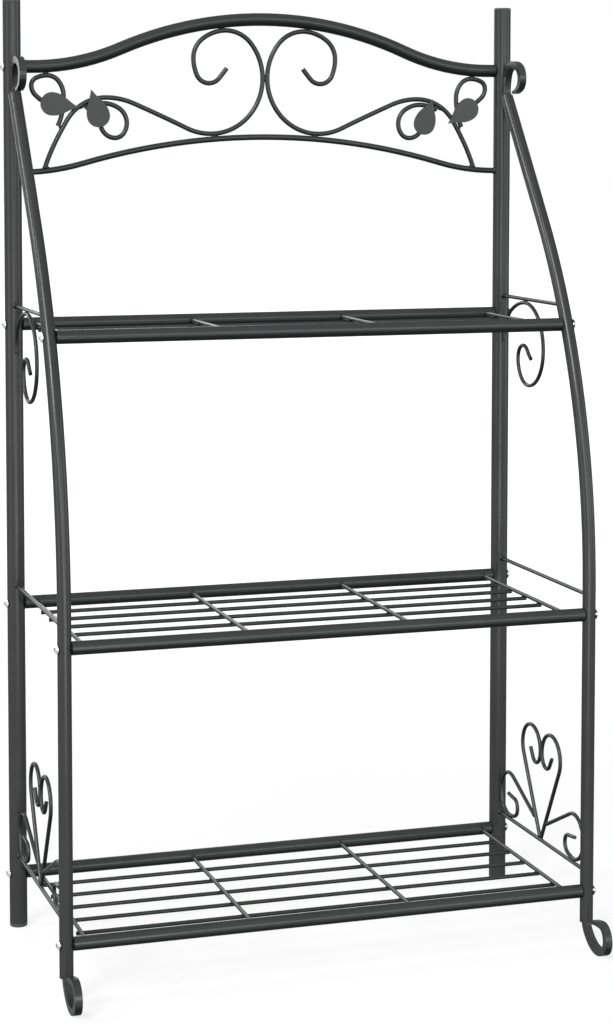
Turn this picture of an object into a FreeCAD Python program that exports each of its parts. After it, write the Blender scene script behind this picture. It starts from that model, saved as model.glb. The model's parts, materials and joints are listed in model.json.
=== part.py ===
import FreeCAD
import Part
import Sketcher
import math
import os

# Three-tier plant stand of coated steel tube and bent wire: two side frames, three shelf grids and
# an arched top panel, bolted together. X runs across, Y to the back and Z up, in millimetres.
# "Reach" is measured forwards from the rear posts. A side view is written (Y, Z) with Y = 0 on the
# posts, and the top panel (X, Z). Headings are in degrees, counter-clockwise in those views.

SIZES = {
    # rear posts and their plastic ends
    "post_spacing": 560.0,
    "post_diameter": 19.0,
    "post_wall": 1.0,
    "stand_height": 998.0,
    "cap_flange": 2.0,
    "foot_flange": 4.0,
    "plug_depth": 12.0,
    "plug_clearance": 0.1,
    "plug_edge_radius": 1.0,
    # front legs
    "leg_diameter": 14.0,
    "leg_wall": 1.0,
    "leg_reach": 244.4,
    "leg_bottom": 25.5,
    "leg_join_drop": 100.7,
    "leg_bend_radius": 643.0,
    "leg_slope_angle": 37.0,
    # shelves
    "shelf_tube_diameter": 14.0,
    "shelf_tube_wall": 1.0,
    "lower_shelf_height": 58.7,
    "middle_shelf_height": 353.7,
    "upper_shelf_height": 654.0,
    "grid_wire_diameter": 4.2,
    "cross_wire_count": 4,
    "cross_wire_inset": 22.0,
    "long_wire_overhang": 3.0,
    "lower_long_wire_count": 5,
    "middle_long_wire_count": 5,
    "upper_long_wire_count": 4,
    # room left at welds and butted ends
    "weld_gap": 0.1,
    # bolts, and the threaded inserts in the tube ends
    "bolt_diameter": 6.0,
    "bolt_length": 35.0,
    "bolt_head_diameter": 10.5,
    "bolt_head_height": 3.4,
    "bolt_head_rim": 0.7,
    "bolt_socket_width": 4.0,
    "bolt_socket_depth": 2.0,
    "bolt_clearance": 0.25,
    "insert_length": 10.0,
    "insert_clearance": 0.05,
    # side wires: rods, hearts, curls and hanging scrolls
    "side_wire_diameter": 4.2,
    "side_rod_lift": 20.0,
    "heart_lean_angle": 29.0,
    "heart_lobe_radius": 24.5,
    "heart_curl_width": 12.3,
    "heart_curl_depth": 15.0,
    "heart_tail_width": 14.5,
    "heart_tail_height": 14.0,
    "heart_tail_heading": 55.0,
    "curl_radius": 24.2,
    "curl_slope_angle": 25.0,
    "curl_eye_width": 22.7,
    "curl_eye_height": 12.7,
    "curl_tail_width": 25.7,
    "curl_tail_height": 11.3,
    "curl_tail_heading": 8.0,
    "hanging_top_reach": 71.0,
    "hanging_root_drop": 44.4,
    "hanging_front_radius": 50.0,
    "hanging_bottom_radius": 41.0,
    "hanging_rear_radius": 28.5,
    "hanging_eye_radius": 15.0,
    "hanging_tail_width": 21.0,
    "hanging_tail_drop": 13.7,
    "hanging_tail_heading": 214.0,
    # square bar scrolls stuck into both ends of each leg
    "bar_width": 7.6,
    "bar_thickness": 7.6,
    "bar_stub": 15.0,
    "foot_neck_radius": 9.6,
    "foot_neck_angle": 34.0,
    "foot_rest_reach": 31.6,
    "foot_front_reach": 56.6,
    "foot_front_height": 19.0,
    "foot_curl_reach": 39.6,
    "foot_curl_height": 36.6,
    "foot_curl_thickness": 5.8,
    "foot_tip_reach": 21.6,
    "foot_tip_height": 31.3,
    "foot_tip_angle": 14.0,
    "foot_tip_thickness": 4.6,
    "crook_neck_height": 7.3,
    "crook_top_reach": 24.0,
    "crook_height": 40.1,
    "crook_front_reach": 51.5,
    "crook_front_height": 20.2,
    "crook_tip_reach": 29.5,
    "crook_tip_height": 5.4,
    "crook_tip_angle": 5.0,
    "crook_tip_thickness": 3.4,
    # top panel: arch tube and lower rod
    "arch_diameter": 14.0,
    "arch_wall": 1.0,
    "arch_drop": 70.5,
    "arch_rise": 53.5,
    "arch_end_radius": 249.0,
    "arch_end_run": 10.0,
    "rod_diameter": 6.4,
    "rod_drop": 112.0,
    "rod_rise": 37.5,
    "rod_end_radius": 243.0,
    "rod_spigot": 5.0,
    "rod_clearance": 0.2,
    # top panel: volutes, each one wire with its stem
    "panel_wire_diameter": 5.2,
    "volute_tip_offset": 43.5,
    "volute_tip_drop": 40.8,
    "volute_tip_angle": 52.0,
    "volute_hook_offset": 63.6,
    "volute_hook_drop": 57.0,
    "volute_side_offset": 81.0,
    "volute_side_drop": 29.8,
    "volute_top_offset": 50.0,
    "volute_inner_drop": 51.3,
    "volute_foot_offset": 57.0,
    "stem_slope_angle": 24.0,
    "stem_crest_inset": 92.4,
    "stem_crest_rise": 38.5,
    "stem_bend_radius": 50.0,
    "stem_bend_angle": 58.7,
    "stem_end_inset": 26.0,
    "stem_end_angle": 71.0,
    # top panel: tendrils, from the stem to a leaf
    "inner_tendril_angle": 31.0,
    "inner_tendril_room": 0.9,
    "inner_tendril_top_offset": 3.0,
    "inner_tendril_side_offset": 22.6,
    "inner_tendril_side_drop": 27.2,
    "inner_tendril_foot_offset": 9.5,
    "inner_tendril_foot_drop": 43.2,
    "inner_tendril_end_offset": 6.0,
    "inner_tendril_end_drop": 30.7,
    "inner_tendril_end_heading": 75.0,
    "outer_tendril_run": 11.0,
    "outer_tendril_flare_angle": 6.0,
    "outer_tendril_inset": 26.4,
    "outer_tendril_side_offset": 18.9,
    "outer_tendril_side_drop": 21.4,
    "outer_tendril_out_offset": 15.9,
    "outer_tendril_out_drop": 10.7,
    "outer_tendril_end_offset": 1.1,
    "outer_tendril_end_drop": 29.4,
    "outer_tendril_end_heading": 214.0,
    # top panel: leaf plates, each set along its own angle past the end of its tendril
    "leaf_radius": 12.5,
    "leaf_point_length": 29.0,
    "leaf_point_angle": 24.0,
    "leaf_thickness": 1.5,
    "left_outer_leaf_angle": -7.0,
    "left_outer_leaf_set": 6.7,
    "left_inner_leaf_angle": 106.0,
    "left_inner_leaf_set": 11.7,
    "right_inner_leaf_angle": 70.5,
    "right_inner_leaf_set": 3.8,
    "right_outer_leaf_angle": 214.0,
    "right_outer_leaf_set": 8.3,
}

Vector = FreeCAD.Vector
UP = Vector(0, 0, 1)
TINY = 1e-6
SIDES = (("left", -1), ("right", 1))
SHELVES = ("lower", "middle", "upper")
SUB_PARTS = []

doc = FreeCAD.newDocument("PlantStand")
sheet = doc.addObject("Spreadsheet::Sheet", "Sizes")
for row, (alias, value) in enumerate(SIZES.items(), start=1):
    sheet.set(f"A{row}", alias.replace("_", " "))
    sheet.set(f"B{row}", str(value))
    sheet.setAlias(f"B{row}", alias)
doc.recompute()


def size(name):
    """Value of one cell of the sheet."""
    return float(sheet.get(name))


GAP = size("weld_gap")
POST_RADIUS = size("post_diameter") / 2
LEG_RADIUS = size("leg_diameter") / 2
SIDE_RADIUS = size("side_wire_diameter") / 2
PANEL_RADIUS = size("panel_wire_diameter") / 2
ARCH_RADIUS = size("arch_diameter") / 2
ROD_RADIUS = size("rod_diameter") / 2
HALF_SPACING = size("post_spacing") / 2
PANEL_EDGE = HALF_SPACING - POST_RADIUS - GAP
ARCH_END_HEIGHT = size("stand_height") - size("arch_drop")

# The origin is on the floor in the middle of the stand, so the posts stand this far behind it
POST_LINE = "(Sizes.leg_reach + Sizes.foot_front_reach - Sizes.post_diameter / 2) / 2"
BOLT_HOLE = "Sizes.bolt_diameter + 2 * Sizes.bolt_clearance"


# Bent centre lines, as waypoints (across, up, heading) joined by tangent arcs
def direction(heading):
    """Unit vector along a heading in the sketch's plane."""
    angle = math.radians(heading)
    return Vector(math.cos(angle), math.sin(angle), 0)


def point(waypoint):
    """Place of a waypoint in the sketch's plane."""
    return Vector(waypoint[0], waypoint[1], 0)


def moved(waypoint, heading, length):
    """Waypoint shifted by a length along a heading, with its own heading kept."""
    place_after = point(waypoint) + direction(heading) * length
    return (place_after.x, place_after.y, waypoint[2])


def beside(waypoint, offset):
    """Waypoint shifted to the left of its own heading."""
    return moved(waypoint, waypoint[2] + 90, offset)


def turned_back(waypoint):
    """Waypoint at the same place with the opposite heading."""
    return (waypoint[0], waypoint[1], waypoint[2] + 180)


def arc(start, tangent, end):
    """Arc that leaves start along tangent and reaches end, or a straight line."""
    chord = end - start
    side = tangent.cross(chord).z
    if abs(side) < TINY * chord.Length:
        return Part.LineSegment(start, end)
    radius = chord.dot(chord) / (2 * side)
    centre = start + Vector(-tangent.y, tangent.x, 0) * radius
    first, last = (start, end) if radius > 0 else (end, start)
    angles = [math.atan2(place.y - centre.y, place.x - centre.x) for place in (first, last)]
    return Part.ArcOfCircle(Part.Circle(centre, UP, abs(radius)), angles[0], angles[1])


def biarc(before, after):
    """One arc or line between two waypoints where it fits, or else two tangent arcs."""
    start, end = point(before), point(after)
    leaving, arriving = direction(before[2]), direction(after[2])
    chord = end - start
    along = chord / chord.Length
    mirrored_tangent = along * (2 * leaving.dot(along)) - leaving
    if (mirrored_tangent - arriving).Length < TINY:
        return [arc(start, leaving, end)]
    spread = 2 * (1 - leaving.dot(arriving))
    reach = chord.dot(leaving + arriving)
    if spread < TINY:
        length = chord.dot(chord) / (4 * chord.dot(arriving))
    else:
        length = (math.sqrt(reach ** 2 + spread * chord.dot(chord)) - reach) / spread
    joint = (start + end + (leaving - arriving) * length) / 2
    return [arc(start, leaving, joint), arc(end, arriving * -1, joint)]


def bend_line(waypoints):
    """Lines and arcs through the waypoints, tangent all along."""
    curves = []
    for before, after in zip(waypoints, waypoints[1:]):
        curves += biarc(before, after)
    return curves


def mirrored(waypoints):
    """The same bends on the other side of the view's upright axis."""
    return [(-across, up, 180 - heading) for across, up, heading in waypoints]


class Arch:
    """Curve over the panel: round at its crown, bent back to level at both ends."""

    def __init__(self, end_height, rise, half_span, end_radius):
        turn = 2 * math.atan(rise / half_span)
        self.end_height = end_height
        self.crown_height = end_height + rise
        self.half_span = half_span
        self.end_radius = end_radius
        self.crown_radius = half_span / math.sin(turn) - end_radius
        self.change = self.crown_radius * math.sin(turn)

    def at(self, across):
        """Waypoint on the right half, heading outwards."""
        if across <= self.change:
            slope = math.asin(across / self.crown_radius)
            up = self.crown_height - self.crown_radius * (1 - math.cos(slope))
        else:
            slope = math.asin((self.half_span - across) / self.end_radius)
            up = self.end_height + self.end_radius * (1 - math.cos(slope))
        return (across, up, -math.degrees(slope))

    def waypoints(self, run):
        """The whole curve from left to right, with a straight run at each end."""
        right = [self.at(self.change), self.at(self.half_span)]
        right.append((self.half_span + run, self.end_height, 0))
        left = [(-across, up, -heading) for across, up, heading in reversed(right)]
        return left + [self.at(0)] + right


# Bodies, sketches and features
def new_body(label):
    """Empty body that is written out under its label."""
    body = doc.addObject("PartDesign::Body", label)
    body.Label = label
    SUB_PARTS.append(body)
    return body


def place(body, across="0", back="0", up="0"):
    """Bind the body's place to the sheet, with its depth measured from the post line."""
    body.setExpression("Placement.Base.x", across)
    body.setExpression("Placement.Base.y", f"{POST_LINE} + {back}")
    body.setExpression("Placement.Base.z", up)


def frame_side(sign):
    """Expression for the plane of one side frame."""
    return f"{sign} * Sizes.post_spacing / 2"


def origin_part(body, role):
    """One plane or axis of the body's own origin."""
    return next(item for item in body.Origin.OriginFeatures if item.Role == role)


def new_sketch(body, role, curves=()):
    """Sketch on one of the body's own planes."""
    sketch = body.newObject("Sketcher::SketchObject", f"{body.Label}_sketch")
    sketch.AttachmentSupport = (origin_part(body, role), [""])
    sketch.MapMode = "FlatFace"
    sketch.addGeometry(list(curves), False)
    return sketch


def add_circle(sketch, diameter, centre=None):
    """Circle whose diameter follows the sheet, on the sketch's origin unless a centre is given."""
    index = sketch.addGeometry(Part.Circle(centre or Vector(), UP, 1.0), False)
    if centre is None:
        sketch.addConstraint(Sketcher.Constraint("Coincident", index, 3, -1, 1))
    bound = sketch.addConstraint(Sketcher.Constraint("Diameter", index, 2.0))
    sketch.setExpression(f"Constraints[{bound}]", diameter)


def add_pad(body, sketch, length, both_ways=True):
    """Pad of a sketch, half to each side or all along its normal."""
    pad = body.newObject("PartDesign::Pad", f"{body.Label}_pad")
    pad.Profile = sketch
    pad.setExpression("Length", length)
    pad.SideType = "Symmetric" if both_ways else "One side"
    return pad


def add_through_cut(body, sketch):
    """Cut right through the body, both ways from the sketch."""
    cut = body.newObject("PartDesign::Pocket", f"{body.Label}_cut")
    cut.Profile = sketch
    cut.Type = "ThroughAll"
    cut.SideType = "Symmetric"
    return cut


def add_row(body, pad, axis, length, count):
    """Row of copies of a pad along one of the body's axes."""
    row_feature = body.newObject("PartDesign::LinearPattern", f"{body.Label}_row")
    row_feature.Originals = [pad]
    row_feature.Direction = (origin_part(body, axis), [""])
    row_feature.setExpression("Length", length)
    row_feature.setExpression("Occurrences", count)
    body.Tip = row_feature


def add_revolution(body, curves, axis):
    """Full turn of a profile on the XZ plane about one of the body's axes."""
    turned = body.newObject("PartDesign::Revolution", f"{body.Label}_turned")
    turned.Profile = new_sketch(body, "XZ_Plane", curves)
    turned.ReferenceAxis = (origin_part(body, axis), [""])
    turned.Angle = 360.0


def straight_bar(label, role, length, diameter, bore=None):
    """Round bar or tube, half its length to each side of one of its body's planes."""
    body = new_body(label)
    section = new_sketch(body, role)
    add_circle(section, diameter)
    if bore:
        add_circle(section, bore)
    add_pad(body, section, length)
    return body


def bent_bar(label, role, waypoints, diameter, bore=None):
    """Round wire or tube swept along a bend line on one of its body's planes."""
    body = new_body(label)
    spine = new_sketch(body, role, bend_line(waypoints))
    first = spine.Geometry[0]
    starts_first = first.StartPoint.distanceToPoint(point(waypoints[0])) < TINY
    section = body.newObject("Sketcher::SketchObject", f"{label}_section")
    section.AttachmentSupport = [(spine, "Edge1")]
    section.MapMode = "NormalToEdge"
    section.MapPathParameter = 0.0 if starts_first else 1.0
    add_circle(section, diameter)
    if bore:
        add_circle(section, bore)
    pipe = body.newObject("PartDesign::AdditivePipe", f"{label}_pipe")
    pipe.Profile = section
    pipe.Spine = spine
    return body


def bar_outline(waypoints):
    """Outline of a tapered bar along (across, up, heading, thickness), square at its root."""
    edges = [[beside(step[:3], sign * step[3] / 2) for step in waypoints] for sign in (1, -1)]
    left, right = edges
    root = Part.LineSegment(point(left[0]), point(right[0]))
    tip = arc(point(right[-1]), direction(right[-1][2]), point(left[-1]))
    return bend_line(left) + bend_line(right) + [root, tip]


# Side frames
def leg_top():
    """End of the leg's centre line, where the cut edge of its tube meets the post."""
    slope = size("leg_slope_angle")
    across = -(POST_RADIUS + GAP + LEG_RADIUS * direction(slope).x)
    return (across, size("stand_height") - size("leg_join_drop"), 90 - slope)


def leg_bend_end():
    """Height where the leg's bend goes over into its straight upper part."""
    slope = math.radians(size("leg_slope_angle"))
    across = -size("leg_reach") + size("leg_bend_radius") * (1 - math.cos(slope))
    end = leg_top()
    return end[1] - (end[0] - across) / math.tan(slope)


def leg_bend_start():
    """Height where the leg starts to bend back to the post."""
    return leg_bend_end() - size("leg_bend_radius") * math.sin(math.radians(size("leg_slope_angle")))


def leg_at(height):
    """Waypoint on the leg's centre line at a height, heading up."""
    radius = size("leg_bend_radius")
    slope = math.radians(size("leg_slope_angle"))
    above = height - leg_bend_start()
    if above <= 0:
        return (-size("leg_reach"), height, 90)
    if above <= radius * math.sin(slope):
        turn = math.asin(above / radius)
        return (-size("leg_reach") + radius * (1 - math.cos(turn)), height, 90 - math.degrees(turn))
    past = above - radius * math.sin(slope)
    across = -size("leg_reach") + radius * (1 - math.cos(slope)) + past * math.tan(slope)
    return (across, height, 90 - size("leg_slope_angle"))


def shelf_height(shelf):
    """Height of the tubes of one shelf."""
    return size(f"{shelf}_shelf_height")


def rod_height(shelf):
    """Height of the side rod above one shelf."""
    return shelf_height(shelf) + size("side_rod_lift")


def rear_post(side, sign):
    """Tube with cross holes for the bolts and one inner hole for the panel's lower rod."""
    body = new_body(f"{side}_rear_post")
    section = new_sketch(body, "XY_Plane")
    add_circle(section, "Sizes.post_diameter")
    add_circle(section, "Sizes.post_diameter - 2 * Sizes.post_wall")
    add_pad(body, section, "Sizes.stand_height - Sizes.cap_flange - Sizes.foot_flange", both_ways=False)
    bottom = size("foot_flange")
    bolt_holes = new_sketch(body, "YZ_Plane")
    for height in [shelf_height(shelf) for shelf in SHELVES] + [ARCH_END_HEIGHT]:
        add_circle(bolt_holes, BOLT_HOLE, Vector(0, height - bottom, 0))
    add_through_cut(body, bolt_holes)
    rod_hole = new_sketch(body, "YZ_Plane")
    rod_up = ARCH_END_HEIGHT - size("rod_drop") - bottom
    add_circle(rod_hole, "Sizes.rod_diameter + 2 * Sizes.rod_clearance", Vector(0, rod_up, 0))
    inner_cut = body.newObject("PartDesign::Pocket", f"{side}_rod_cut")
    inner_cut.Profile = rod_hole
    inner_cut.setExpression("Length", "Sizes.post_diameter / 2")
    inner_cut.Reversed = sign < 0
    place(body, frame_side(sign), up="Sizes.foot_flange")


def post_plug(label, sign, flange, at_top):
    """Plastic plug with a rounded flange and a stem in the post, upside down at the top."""
    rim = size("plug_edge_radius")
    stem = POST_RADIUS - size("post_wall") - size("plug_clearance")
    end = flange + size("plug_depth")
    body = new_body(label)
    corners = [(stem, flange), (stem, end), (0, end), (0, 0), (POST_RADIUS - rim, 0)]
    outer = [(POST_RADIUS, rim), (POST_RADIUS, flange), (stem, flange)]
    lines = list(zip(corners, corners[1:])) + list(zip(outer, outer[1:]))
    curves = [Part.LineSegment(Vector(*start, 0), Vector(*finish, 0)) for start, finish in lines]
    curves.append(arc(Vector(*corners[-1], 0), Vector(1, 0, 0), Vector(*outer[0], 0)))
    add_revolution(body, curves, "Z_Axis")
    if at_top:
        body.Placement.Rotation = FreeCAD.Rotation(Vector(1, 0, 0), 180)
    place(body, frame_side(sign), up="Sizes.stand_height" if at_top else "0")


def front_leg(side, sign):
    """Tube from the foot up, bent back to the post, with cross holes for the shelf bolts."""
    heights = (size("leg_bottom"), leg_bend_start(), leg_bend_end())
    waypoints = [leg_at(height) for height in heights] + [leg_top()]
    bore = "Sizes.leg_diameter - 2 * Sizes.leg_wall"
    body = bent_bar(f"{side}_front_leg", "YZ_Plane", waypoints, "Sizes.leg_diameter", bore)
    bolt_holes = new_sketch(body, "YZ_Plane")
    for shelf in SHELVES:
        add_circle(bolt_holes, BOLT_HOLE, point(leg_at(shelf_height(shelf))))
    add_through_cut(body, bolt_holes)
    place(body, frame_side(sign))


def side_rod(side, sign, shelf):
    """Straight wire above a shelf from the post to the leg, cut to the leg's slope."""
    height = rod_height(shelf)
    leg = leg_at(height)
    body = new_body(f"{side}_{shelf}_side_rod")
    section = new_sketch(body, "XZ_Plane")
    add_circle(section, "Sizes.side_wire_diameter")
    add_pad(body, section, str(-leg[0] - POST_RADIUS - GAP), both_ways=False)
    start = POST_RADIUS + GAP
    contact = beside((leg[0] + start, 0, leg[2]), -(LEG_RADIUS + GAP))
    reach = size("leg_diameter")
    corners = [point(moved(contact, contact[2], sign_up * reach)) for sign_up in (1, -1)]
    corners += [corner - Vector(reach, 0, 0) for corner in reversed(corners)]
    edges = zip(corners, corners[1:] + corners[:1])
    add_through_cut(body, new_sketch(body, "YZ_Plane", [Part.LineSegment(*edge) for edge in edges]))
    place(body, frame_side(sign), f"{-start}", str(height))


def side_wire(name, side, sign, waypoints):
    """Bent wire in the plane of one side frame."""
    body = bent_bar(f"{side}_{name}", "YZ_Plane", waypoints, "Sizes.side_wire_diameter")
    place(body, frame_side(sign))


def heart_waypoints():
    """Half of the heart as (distance from the heart's middle, height)."""
    heading = 90 - size("heart_lean_angle")
    tangent = direction(heading)
    radius = size("heart_lobe_radius")
    base_up = rod_height("lower") + SIDE_RADIUS * (1 + tangent.x) + GAP
    base = (SIDE_RADIUS * tangent.y + GAP / 2, base_up, heading)
    lobe_middle = SIDE_RADIUS + GAP / 2 + radius
    run = (lobe_middle - base[0] + radius * tangent.y) / tangent.x
    lobe_start = moved(base, heading, run)
    lobe_height = lobe_start[1] + radius * tangent.x
    inner = (lobe_middle - radius, lobe_height, 270)
    bottom = (inner[0] + size("heart_curl_width"), lobe_height - size("heart_curl_depth"), 0)
    tail_end = (bottom[0] + size("heart_tail_width"), bottom[1] + size("heart_tail_height"))
    outer = (lobe_middle + radius, lobe_height, 90)
    top = (lobe_middle, lobe_height + radius, 180)
    return [base, lobe_start, outer, top, inner, bottom, (*tail_end, size("heart_tail_heading"))]


def curl_waypoints(half_room):
    """Curl between heart, rod and upright as (distance from the heart's middle, height)."""
    radius = size("curl_radius")
    slope = size("curl_slope_angle")
    heart_base = heart_waypoints()[0]
    outer_across = half_room - SIDE_RADIUS - GAP
    bottom_up = rod_height("lower") + 2 * SIDE_RADIUS + GAP
    middle = (outer_across - radius, bottom_up + radius, slope)
    crest = beside(middle, radius)
    crossing = math.radians(heart_base[2] - slope)
    heart_normal = direction(heart_base[2] - 90)
    room = SIDE_RADIUS * (1 + math.cos(crossing)) + GAP
    run = ((point(crest) - point(heart_base)).dot(heart_normal) - room) / math.sin(crossing)
    eye = (middle[0] - size("curl_eye_width"), bottom_up + size("curl_eye_height"), 90)
    tail_end = (eye[0] + size("curl_tail_width"), eye[1] + size("curl_tail_height"))
    round_part = [(middle[0], bottom_up + 2 * radius, 0), (outer_across, middle[1], 270)]
    round_part.append((middle[0], bottom_up, 180))
    return [moved(crest, slope, -run), crest] + round_part + [eye, (*tail_end, size("curl_tail_heading"))]


def hanging_waypoints():
    """Scroll from the post up under the upper side rod, then round into its eye."""
    top_up = rod_height("upper") - 2 * SIDE_RADIUS - GAP
    top = (-size("hanging_top_reach"), top_up, 180)
    root = (-(POST_RADIUS + GAP + SIDE_RADIUS), top_up - size("hanging_root_drop"), 90)
    waypoints = [root, top]
    quarters = (("front", 225, 270), ("bottom", 315, 0), ("rear", 45, 90), ("eye", 135, 180))
    for name, diagonal, heading in quarters:
        reached = moved(waypoints[-1], diagonal, size(f"hanging_{name}_radius") * math.sqrt(2))
        waypoints.append((reached[0], reached[1], heading))
    eye = waypoints[-1]
    tail_end = (eye[0] - size("hanging_tail_width"), eye[1] - size("hanging_tail_drop"))
    return waypoints + [(*tail_end, size("hanging_tail_heading"))]


def stub_offset():
    """How far forward a bar lies in its tube, with two edges against the bore."""
    bore_radius = LEG_RADIUS - size("leg_wall") - GAP
    return math.sqrt(bore_radius ** 2 - (size("bar_width") / 2) ** 2) - size("bar_thickness") / 2


def foot_waypoints():
    """Foot bar: down out of the leg, forwards along the floor, and curled up and back."""
    thick = size("bar_thickness")
    leg = -size("leg_reach")
    radius = size("foot_neck_radius")
    turn = size("foot_neck_angle")
    mouth = (leg - stub_offset(), size("leg_bottom"), 270)
    neck = moved(mouth, 180, radius * (1 - direction(turn).x))
    neck = moved(neck, 270, radius * direction(turn).y)
    return [
        (*moved(mouth, 90, size("bar_stub")), thick),
        (*mouth, thick),
        (neck[0], neck[1], 270 - turn, thick),
        (leg - size("foot_rest_reach"), thick / 2, 180, thick),
        (leg - size("foot_front_reach") + thick / 2, size("foot_front_height"), 90, thick),
        (
            leg - size("foot_curl_reach"),
            size("foot_curl_height") - size("foot_curl_thickness") / 2,
            0,
            size("foot_curl_thickness"),
        ),
        (
            leg - size("foot_tip_reach"),
            size("foot_tip_height"),
            -size("foot_tip_angle"),
            size("foot_tip_thickness"),
        ),
    ]


def crook_waypoints():
    """Top bar: out of the leg, up along the post, and curled forwards and down."""
    thick = size("bar_thickness")
    mouth = beside(leg_top(), stub_offset())
    base = leg_top()[1]
    return [
        (*moved(mouth, mouth[2], -size("bar_stub")), thick),
        (*mouth, thick),
        (-(POST_RADIUS + GAP + thick / 2), mouth[1] + size("crook_neck_height"), 90, thick),
        (-(POST_RADIUS + size("crook_top_reach")), base + size("crook_height") - thick / 2, 180, thick),
        (
            -(POST_RADIUS + size("crook_front_reach")) + thick / 2,
            base + size("crook_front_height"),
            270,
            thick,
        ),
        (
            -(POST_RADIUS + size("crook_tip_reach")),
            base + size("crook_tip_height"),
            360 - size("crook_tip_angle"),
            size("crook_tip_thickness"),
        ),
    ]


def scroll_bar(name, side, sign, waypoints):
    """Tapered square bar in the plane of one side frame."""
    body = new_body(f"{side}_{name}")
    add_pad(body, new_sketch(body, "YZ_Plane", bar_outline(waypoints)), "Sizes.bar_width")
    place(body, frame_side(sign))


def side_frame(side, sign):
    """One side of the stand, with everything that is welded or plugged into it."""
    rear_post(side, sign)
    post_plug(f"{side}_post_cap", sign, size("cap_flange"), at_top=True)
    post_plug(f"{side}_post_foot", sign, size("foot_flange"), at_top=False)
    front_leg(side, sign)
    for shelf in SHELVES:
        side_rod(side, sign, shelf)
    leg_face = size("leg_reach") - LEG_RADIUS
    middle = -(leg_face + POST_RADIUS) / 2
    halves = {"heart_half": heart_waypoints(), "curl": curl_waypoints((leg_face - POST_RADIUS) / 2)}
    for name, half in halves.items():
        for end, waypoints in (("rear", half), ("front", mirrored(half))):
            side_wire(f"{end}_{name}", side, sign, [moved(step, 0, middle) for step in waypoints])
    side_wire("hanging_scroll", side, sign, hanging_waypoints())
    scroll_bar("foot_scroll", side, sign, foot_waypoints())
    scroll_bar("top_scroll", side, sign, crook_waypoints())


# Shelves
def shelf_tube(label, height, upright_diameter, back):
    """Tube between two uprights, with flat ends against them."""
    length = f"Sizes.post_spacing - {upright_diameter} - 2 * Sizes.weld_gap"
    bore = "Sizes.shelf_tube_diameter - 2 * Sizes.shelf_tube_wall"
    body = straight_bar(label, "YZ_Plane", length, "Sizes.shelf_tube_diameter", bore)
    place(body, back=back, up=height)


def shelf_grid(shelf):
    """Front and rear tubes, cross wires between them and long wires under the cross wires."""
    height = f"Sizes.{shelf}_shelf_height"
    depth = -leg_at(shelf_height(shelf))[0]
    count = f"Sizes.{shelf}_long_wire_count"
    span = "Sizes.post_spacing - 2 * Sizes.cross_wire_inset"
    shelf_tube(f"{shelf}_rear_tube", height, "Sizes.post_diameter", "0")
    shelf_tube(f"{shelf}_front_tube", height, "Sizes.leg_diameter", f"{-depth}")
    cross = new_body(f"{shelf}_cross_wires")
    section = new_sketch(cross, "XZ_Plane")
    add_circle(section, "Sizes.grid_wire_diameter")
    section.setExpression("AttachmentOffset.Base.x", f"-({span}) / 2")
    pad = add_pad(cross, section, f"{depth} - Sizes.shelf_tube_diameter - 2 * Sizes.weld_gap")
    add_row(cross, pad, "X_Axis", span, "Sizes.cross_wire_count")
    place(cross, back=f"{-depth / 2}", up=height)
    along = new_body(f"{shelf}_long_wires")
    section = new_sketch(along, "YZ_Plane")
    add_circle(section, "Sizes.grid_wire_diameter")
    section.setExpression("AttachmentOffset.Base.x", f"{depth} / ({count} + 1) - {depth}")
    pad = add_pad(along, section, f"{span} + 2 * Sizes.long_wire_overhang")
    add_row(along, pad, "Y_Axis", f"{depth} * ({count} - 1) / ({count} + 1)", count)
    place(along, up=f"{height} - Sizes.grid_wire_diameter - Sizes.weld_gap")


# Top panel
def panel_wires(name, right_waypoints):
    """Pair of bent wires, the left one the mirror of the right one."""
    for side, waypoints in (("left", mirrored(right_waypoints)), ("right", right_waypoints)):
        place(bent_bar(f"{side}_{name}", "XZ_Plane", waypoints, "Sizes.panel_wire_diameter"))


def leaf(label, tendril_end, angle, set_along):
    """Flat plate with one round end and one point, welded on the front of the tendril's end."""
    radius = size("leaf_radius")
    sharp = size("leaf_point_angle")
    middle = moved((*tendril_end[:2], angle), angle, set_along)
    tip = moved(middle, angle, size("leaf_point_length"))[:2]
    outline = [(*tip, angle + 180 - sharp)]
    for turn in (90, 180, 270):
        outline.append((*moved(middle, angle + turn, radius)[:2], angle + turn + 90))
    outline.append((*tip, angle + sharp))
    body = new_body(label)
    sketch = new_sketch(body, "XZ_Plane", bend_line(outline))
    add_pad(body, sketch, "Sizes.leaf_thickness", both_ways=False)
    place(body, back="-1 * (Sizes.panel_wire_diameter / 2 + Sizes.weld_gap)")


def set_out(origin, name, sign, heading):
    """Waypoint beside and below an origin, by the offset and the drop of that name."""
    return (origin[0] + sign * size(f"{name}_offset"), origin[1] - size(f"{name}_drop"), heading)


def volute_foot(rod):
    """Where the volute stands on the lower rod, heading outwards."""
    return beside(rod.at(size("volute_foot_offset")), ROD_RADIUS + PANEL_RADIUS + GAP)


def stem_crest(rod):
    """Highest place of the stem."""
    return (PANEL_EDGE - size("stem_crest_inset"), volute_foot(rod)[1] + size("stem_crest_rise"), 0)


def on_stem_bend(rod, turn):
    """Waypoint on the stem's bend, where it has turned down by an angle."""
    radius = size("stem_bend_radius")
    middle = moved(stem_crest(rod), 270, radius)
    return (*moved(middle, 90 - turn, radius)[:2], -turn)


def under_arch(arch, across):
    """Waypoint of a wire that touches the underside of the arch tube, heading outwards."""
    return beside(arch.at(across), -(ARCH_RADIUS + PANEL_RADIUS + GAP))


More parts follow.
